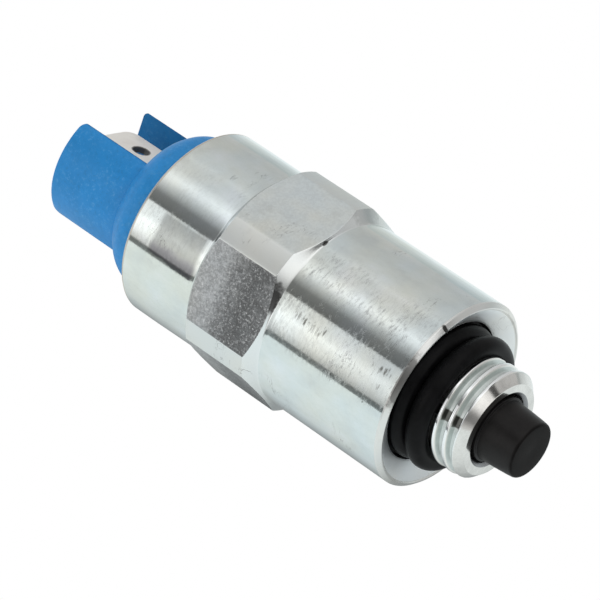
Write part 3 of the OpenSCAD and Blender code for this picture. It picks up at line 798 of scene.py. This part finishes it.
def build_collar():
    outline = fillet([
        (COLLAR_REAR, 0.0), (COLLAR_REAR, 9.0, 0.35), (-46.25, 10.0, 0.9), (-45.2, 10.5, 0.6), (-44.0, 10.6, 0.3),
        (-41.6, 10.6), (-41.58, 10.45), (-39.88, 10.45), (-39.88, 9.15), (-38.58, 9.15), (-38.58, 0.0)], 6)
    verts, faces = lathe(outline, 180)
    return add_object("connector_collar", verts, faces, "body", ["connector_body"], [MATS["blue"]], sharp=45)


def build_blade():
    """Flat blade with rounded end corners, slightly rounded edges and a lock hole."""
    half = 3.15
    end = BLADE_END
    foot = -41.0
    corner = 1.5
    outer = []
    for t in np.linspace(0, math.pi / 2, 10):
        outer.append((end + corner - corner * math.cos(t), -half + corner - corner * math.sin(t)))
    outer += [(x, -half) for x in np.linspace(end + 4, foot, 6)]
    outer += [(x, half) for x in np.linspace(foot, end + 4, 6)]
    for t in np.linspace(0, math.pi / 2, 10):
        outer.append((end + corner - corner * math.sin(t), half - corner + corner * math.cos(t)))
    outer += [(end, y) for y in np.linspace(half - corner, -half + corner, 6)[1:-1]]
    hole_x = HOLE_X
    centre = np.array((hole_x, 0.0))
    ring = []
    for x, y in outer:
        a = math.atan2(y - centre[1], x - centre[0])
        ring.append((hole_x + HOLE_R * math.cos(a), HOLE_R * math.sin(a)))
    n = len(outer)
    verts, faces = [], []
    for z in (BLADE_RISE - 0.4, BLADE_RISE + 0.4):
        verts.extend((x, y, z) for x, y in outer)
        verts.extend((x, y, z) for x, y in ring)
    for j in range(n):
        k = (j + 1) % n
        faces.append((j, k, n + k, n + j))
        faces.append((2 * n + k, 2 * n + j, 3 * n + j, 3 * n + k))
        faces.append((k, j, 2 * n + j, 2 * n + k))
        faces.append((n + j, n + k, 3 * n + k, 3 * n + j))
    obj = add_object("blade_strip", rolled(verts, SLOT_ROLL), faces, "body", ["blade_terminal"], [MATS["tin"]], smooth=False)
    return bevelled(obj, 0.09, 2, 50)


# ---------------------------------------------------------------- hidden pieces
def build_spring():
    turns = 8
    wire = 0.25
    mean = 2.1
    start, end = -28.41 + wire, -12.61 - wire
    steps = 40
    section = 12
    verts = []
    count = turns * steps + 1
    for i in range(count):
        t = i / steps
        a = 2 * math.pi * t
        x = start + (end - start) * t / turns
        out = np.array((0.0, math.cos(a), math.sin(a)))
        ax = np.array((1.0, 0.0, 0.0))
        centre = np.array((x, 0.0, 0.0)) + mean * out
        for j in range(section):
            b = 2 * math.pi * j / section
            verts.append(tuple(centre + wire * (math.cos(b) * out + math.sin(b) * ax)))
    faces = grid_faces(count, section)
    faces.append(tuple(range(section)))
    faces.append(tuple(reversed(range((count - 1) * section, count * section))))
    obj = add_object("return_spring_coil", verts, faces, "body", ["return_spring"], [MATS["spring"]])
    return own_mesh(obj)


build_housing()
build_nose()
build_ring("rear_ring", REAR_RING_X)
build_ring("front_ring", FRONT_RING_X)
build_tip()
build_wall("connector_wall_a", 1)
build_wall("connector_wall_b", -1)
build_collar()
build_blade()
build_spring()

CAD_LOOKS = {
    "collar_seal": "rubber", "end_plate": "core", "fixed_core": "core", "core_shim": "brass", "bobbin": "black",
    "winding": "wound", "winding_wrap": "film", "front_washer": "fibre", "guide_tube": "brass", "armature": "ground",
    "stop_washer": "rubber", "live_lead": "copper", "lead_sleeve": "red", "earth_lead": "copper", "terminal_grommet": "black",
    "housing": "cylinder", "rear_ring": "rubber", "front_ring": "rubber", "rubber_tip": "tip", "connector_body": "blue",
    "blade_terminal": "tin", "return_spring": "spring",
}
for node, look in CAD_LOOKS.items():
    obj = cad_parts[node]
    obj.data.materials.clear()
    obj.data.materials.append(MATS[look])
    obj.data.polygons.foreach_set("use_smooth", np.full(len(obj.data.polygons), True))
    obj.data.set_sharp_from_angle(angle=math.radians(30))


# ---------------------------------------------------------------- floor, light and camera
def build_floor():
    """A white table. It shows plain white, and mirrors and lights the object as a pale sheet, with a painted shadow
    close round the object.
    """
    size = 3.0
    z = -(HEX_APOTHEM + 0.05) * MM
    mesh = bpy.data.meshes.new("floor")
    mesh.from_pydata([(-size, -size, z), (size, -size, z), (size, size, z), (-size, size, z)], [], [(0, 1, 2, 3)])
    floor = bpy.data.objects.new("floor", mesh)
    bpy.context.scene.collection.objects.link(floor)
    mat = bpy.data.materials.new("floor_sheet")
    mat.use_nodes = True
    tree = mat.node_tree
    tree.nodes.clear()
    out = tree.nodes.new("ShaderNodeOutputMaterial")
    path = tree.nodes.new("ShaderNodeLightPath")
    white = tree.nodes.new("ShaderNodeEmission")
    white.inputs["Color"].default_value = (1, 1, 1, 1)
    sheet = tree.nodes.new("ShaderNodeEmission")
    place = tree.nodes.new("ShaderNodeTexCoord")

    def calc(op, a, b):
        n = tree.nodes.new("ShaderNodeMath")
        n.operation = op
        for k, v in enumerate((a, b)):
            if isinstance(v, bpy.types.NodeSocket):
                tree.links.new(v, n.inputs[k])
            else:
                n.inputs[k].default_value = v
        return n.outputs[0]

    axes = tree.nodes.new("ShaderNodeSeparateXYZ")
    tree.links.new(place.outputs["Object"], axes.inputs[0])
    # painted shadow: close round the object the sheet is darker, as the object's shade on it
    out_y = calc("MAXIMUM", calc("SUBTRACT", calc("ABSOLUTE", axes.outputs[1], 0.0), 0.008), 0.0)
    out_x = calc("MAXIMUM", calc("SUBTRACT", calc("ABSOLUTE", calc("ADD", axes.outputs[0], 0.0255), 0.0), 0.0305), 0.0)
    away = calc("SQRT", calc("ADD", calc("MULTIPLY", out_y, out_y), calc("MULTIPLY", out_x, out_x)), 0.0)
    shade = tree.nodes.new("ShaderNodeValToRGB")
    tree.links.new(calc("MULTIPLY", away, 40.0), shade.inputs[0])
    shades = [(0.0, 0.38), (0.11, 0.60), (0.20, 0.78), (0.36, 0.90), (0.56, 0.96), (0.9, 1.0)]
    while len(shade.color_ramp.elements) < len(shades):
        shade.color_ramp.elements.new(0.5)
    for e, (q, v) in zip(shade.color_ramp.elements, shades):
        e.position = q
        e.color = (v, v, v, 1)

    def shades_of(value, *marks):
        """A grey that follows a value; a mark is (value, grey) and the values run from 0 to 1."""
        n = tree.nodes.new("ShaderNodeValToRGB")
        tree.links.new(value, n.inputs[0])
        while len(n.color_ramp.elements) < len(marks):
            n.color_ramp.elements.new(0.5)
        for e, (q, v) in zip(n.color_ramp.elements, marks):
            e.position = q
            e.color = (v, v, v, 1)
        return n.outputs[0]

    # the sheet ends near the nose and towards the viewer, and falls off slowly on the far side
    far_side = shades_of(calc("MULTIPLY", axes.outputs[1], 2.0), (0.0, 1.0), (0.09, 1.0), (0.115, 0.86), (0.23, 0.71), (0.6, 0.62))
    near_side = shades_of(calc("MULTIPLY", axes.outputs[1], -2.0), (0.0, 1.0), (0.36, 1.0), (0.38, 0.22), (1.0, 0.20))
    ahead = shades_of(calc("MULTIPLY", axes.outputs[0], 2.0), (0.0, 1.0), (0.10, 1.0), (0.112, 0.05), (0.24, 0.07), (0.6, 0.25))
    # ahead of the nose the near side of the sheet stays bright
    ahead = calc("MAXIMUM", ahead, shades_of(calc("MULTIPLY", axes.outputs[1], -2.0), (0.0, 0.0), (0.05, 0.0), (0.08, 1.0)))
    ahead = calc("MAXIMUM", ahead, shades_of(calc("MULTIPLY", axes.outputs[1], 2.0), (0.0, 0.0), (0.10, 0.0), (0.18, 0.72), (1.0, 0.8)))
    near_side = calc("MAXIMUM", near_side, shades_of(calc("MULTIPLY", axes.outputs[0], 2.0), (0.0, 0.0), (0.08, 0.0), (0.12, 1.0)))
    sheet_tone = calc("MULTIPLY", calc("MULTIPLY", far_side, near_side), ahead)
    tint = tree.nodes.new("ShaderNodeMix")
    tint.data_type = "RGBA"
    tint.blend_type = "MULTIPLY"
    tint.inputs[0].default_value = 1.0
    tint.inputs[6].default_value = (0.87, 0.93, 0.94, 1)
    tree.links.new(sheet_tone, tint.inputs[7])
    shaded = tree.nodes.new("ShaderNodeMix")
    shaded.data_type = "RGBA"
    shaded.blend_type = "MULTIPLY"
    shaded.inputs[0].default_value = 1.0
    tree.links.new(tint.outputs[2], shaded.inputs[6])
    tree.links.new(shade.outputs[0], shaded.inputs[7])
    tree.links.new(shaded.outputs[2], sheet.inputs["Color"])
    mix = tree.nodes.new("ShaderNodeMixShader")
    tree.links.new(path.outputs["Is Camera Ray"], mix.inputs[0])
    tree.links.new(sheet.outputs[0], mix.inputs[1])
    tree.links.new(white.outputs[0], mix.inputs[2])
    tree.links.new(mix.outputs[0], out.inputs["Surface"])
    mesh.materials.append(mat)


def build_world():
    """A light tent: a bright roof, a dark gap towards the viewer, and a bright front window down to the table."""
    world = bpy.data.worlds.new("tent")
    bpy.context.scene.world = world
    world.use_nodes = True
    tree = world.node_tree
    tree.nodes.clear()
    out = tree.nodes.new("ShaderNodeOutputWorld")
    back = tree.nodes.new("ShaderNodeBackground")
    white = tree.nodes.new("ShaderNodeBackground")
    white.inputs["Color"].default_value = (1, 1, 1, 1)
    place = tree.nodes.new("ShaderNodeTexCoord")
    split = tree.nodes.new("ShaderNodeSeparateXYZ")
    tree.links.new(place.outputs["Generated"], split.inputs[0])
    flip = tree.nodes.new("ShaderNodeMath")
    flip.operation = "MULTIPLY"
    flip.inputs[1].default_value = -1
    tree.links.new(split.outputs[1], flip.inputs[0])
    turn = tree.nodes.new("ShaderNodeMath")
    turn.operation = "ARCTAN2"
    tree.links.new(flip.outputs[0], turn.inputs[0])
    tree.links.new(split.outputs[2], turn.inputs[1])
    fit = tree.nodes.new("ShaderNodeMapRange")
    fit.inputs["From Min"].default_value = -math.pi
    fit.inputs["From Max"].default_value = math.pi
    tree.links.new(turn.outputs[0], fit.inputs["Value"])

    def greys(value, marks, scale):
        """A grey that follows a value; a mark is (value from 0 to 1, grey)."""
        n = tree.nodes.new("ShaderNodeValToRGB")
        tree.links.new(value, n.inputs[0])
        while len(n.color_ramp.elements) < len(marks):
            n.color_ramp.elements.new(0.5)
        for e, (q, v) in zip(n.color_ramp.elements, marks):
            e.position = q
            e.color = (v * scale, v * scale, v * scale, 1)
        return n.outputs[0]

    strength = 1.4
    behind = [
        (-180, 0.50), (-100, 0.62), (-78, 0.56), (-54, 0.59), (-36, 0.66), (-27, 0.72), (-25, 0.76), (-17, 0.70), (-5, 0.76), (2, 0.95), (7, 1.10), (12, 1.0), (18, 0.70),
        (30, 0.22), (42.3, 0.16), (43.6, 0.99), (56, 1.12), (66, 1.46), (78, 1.18), (86, 0.80), (89.2, 0.72), (90, 0.22)]
    front = [
        (-180, 0.50), (-100, 0.60), (-80, 0.56), (-60, 0.50), (-45, 0.60), (-30, 0.92), (-9, 1.15),
        (10, 1.05), (25, 0.85), (36, 0.45), (46, 0.25), (66, 0.22), (80, 0.50), (90, 0.70)]
    at_back = greys(fit.outputs["Result"], [((deg + 180) / 360, v) for deg, v in behind], 1 / strength)
    at_front = greys(fit.outputs["Result"], [((deg + 180) / 360, v) for deg, v in front], 1 / strength)
    pane = tree.nodes.new("ShaderNodeValToRGB")
    side = tree.nodes.new("ShaderNodeMapRange")
    side.inputs["From Min"].default_value = -1
    side.inputs["From Max"].default_value = 1
    tree.links.new(split.outputs[0], side.inputs["Value"])
    tree.links.new(side.outputs["Result"], pane.inputs[0])
    panes = [(-1, 1.0), (-0.480, 1.0), (-0.472, 0.64), (-0.36, 0.64), (-0.30, 0.95), (1, 0.95)]
    while len(pane.color_ramp.elements) < len(panes):
        pane.color_ramp.elements.new(0.5)
    for e, (x, v) in zip(pane.color_ramp.elements, panes):
        e.position = (x + 1) / 2
        e.color = (v, v, v, 1)
    in_window = tree.nodes.new("ShaderNodeMath")
    in_window.operation = "GREATER_THAN"
    in_window.inputs[1].default_value = math.radians(43)
    tree.links.new(turn.outputs[0], in_window.inputs[0])
    framed = tree.nodes.new("ShaderNodeMix")
    framed.data_type = "RGBA"
    framed.blend_type = "MULTIPLY"
    tree.links.new(in_window.outputs[0], framed.inputs[0])
    tree.links.new(at_back, framed.inputs[6])
    tree.links.new(pane.outputs[0], framed.inputs[7])
    # a narrow black flag stands far ahead
    flag = greys(fit.outputs["Result"], [((deg + 180) / 360, v) for deg, v in ((-47, 0.0), (-45, 1.0), (-32, 1.0), (-30, 0.0))], 1.0)
    ahead = greys(side.outputs["Result"], [(0.76, 0.0), (0.80, 1.0)], 1.0)
    flag_here = tree.nodes.new("ShaderNodeMath")
    flag_here.operation = "MULTIPLY"
    tree.links.new(flag, flag_here.inputs[0])
    tree.links.new(ahead, flag_here.inputs[1])
    flagged = tree.nodes.new("ShaderNodeMix")
    flagged.data_type = "RGBA"
    flagged.inputs[7].default_value = (0.04, 0.04, 0.04, 1)
    tree.links.new(flag_here.outputs[0], flagged.inputs[0])
    tree.links.new(at_front, flagged.inputs[6])
    turned = greys(side.outputs["Result"], [(0.0, 0.0), (0.5, 0.0), (0.68, 1.0)], 1.0)
    whole = tree.nodes.new("ShaderNodeMix")
    whole.data_type = "RGBA"
    tree.links.new(turned, whole.inputs[0])
    tree.links.new(framed.outputs[2], whole.inputs[6])
    tree.links.new(flagged.outputs[2], whole.inputs[7])
    tree.links.new(whole.outputs[2], back.inputs["Color"])
    back.inputs["Strength"].default_value = strength
    path = tree.nodes.new("ShaderNodeLightPath")
    mix = tree.nodes.new("ShaderNodeMixShader")
    tree.links.new(path.outputs["Is Camera Ray"], mix.inputs[0])
    tree.links.new(back.outputs[0], mix.inputs[1])
    tree.links.new(white.outputs[0], mix.inputs[2])
    tree.links.new(mix.outputs[0], out.inputs["Surface"])


def build_camera():
    data = bpy.data.cameras.new("photo_view")
    data.lens = 221.61
    data.sensor_width = 36
    camera = bpy.data.objects.new("photo_view", data)
    bpy.context.scene.collection.objects.link(camera)
    right = Vector((0.72284, 0.69059, 0.02435))
    up = Vector((-0.48923, 0.48655, 0.72383))
    back = Vector((0.48802, -0.53513, 0.68955))
    turn = Matrix((right, up, back)).transposed().to_4x4()
    camera.matrix_world = Matrix.Translation((0.19221, -0.23739, 0.30514)) @ turn
    data.clip_start = 0.01
    bpy.context.scene.camera = camera


build_floor()
build_world()
build_camera()

scene = bpy.context.scene
scene.render.engine = "CYCLES"
scene.render.resolution_x = 600
scene.render.resolution_y = 600
scene.cycles.samples = 256
scene.cycles.use_denoising = True
scene.view_settings.view_transform = "Standard"
